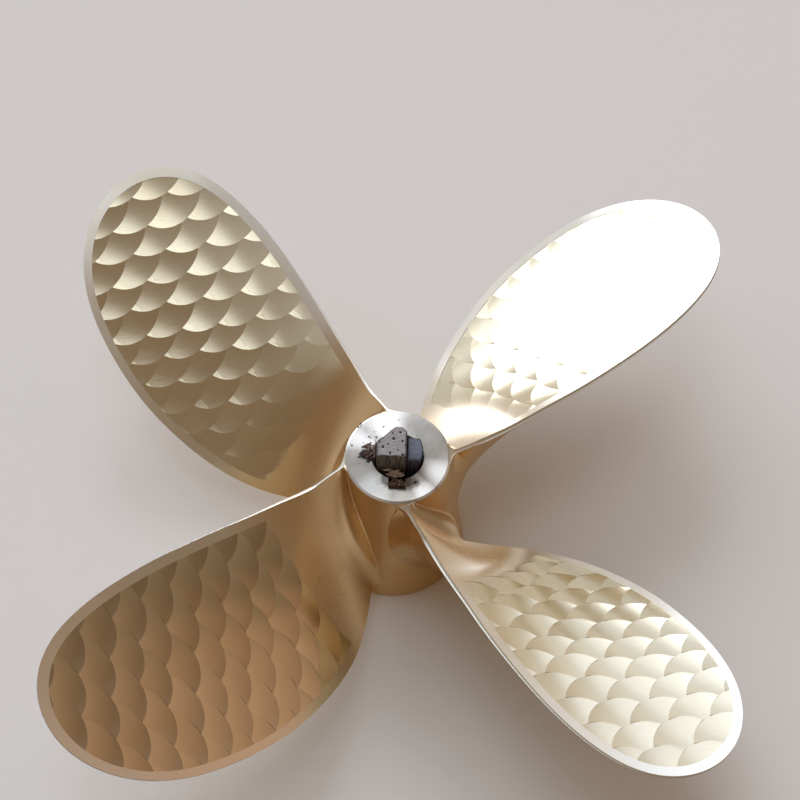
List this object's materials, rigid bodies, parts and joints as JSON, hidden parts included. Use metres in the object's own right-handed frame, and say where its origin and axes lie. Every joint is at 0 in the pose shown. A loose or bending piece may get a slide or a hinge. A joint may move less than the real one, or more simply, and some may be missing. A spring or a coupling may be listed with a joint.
{
  "type": "ship propeller",
  "caption": "Left-handed bronze ship propeller with scalloped ground blades and a keyed taper bore, on a timber post wedged in the bore.",
  "frame": {"origin": "centre of the hub's forward end face, which the propeller stands on", "axes": "+Z along the shaft axis from the forward to the aft end; blade tips on the diagonals between X and Y; keyway towards -Y"},
  "size_m": [0.537, 0.537, 0.1544],
  "materials": {
    "bronze": "pressure faces ground in overlapping scallops, smooth polished border, root and hub",
    "grey_timber": "weathered sawn end grain with dark pits",
    "blue_grey_timber": "weathered, stained blue grey",
    "brown_timber": "broken and fibrous"
  },
  "bodies": {
    "root": {"propeller_casting": "bronze", "centre_post": "grey_timber", "side_wedge": "blue_grey_timber", "split_shim": "brown_timber"}
  },
  "joints": []
}
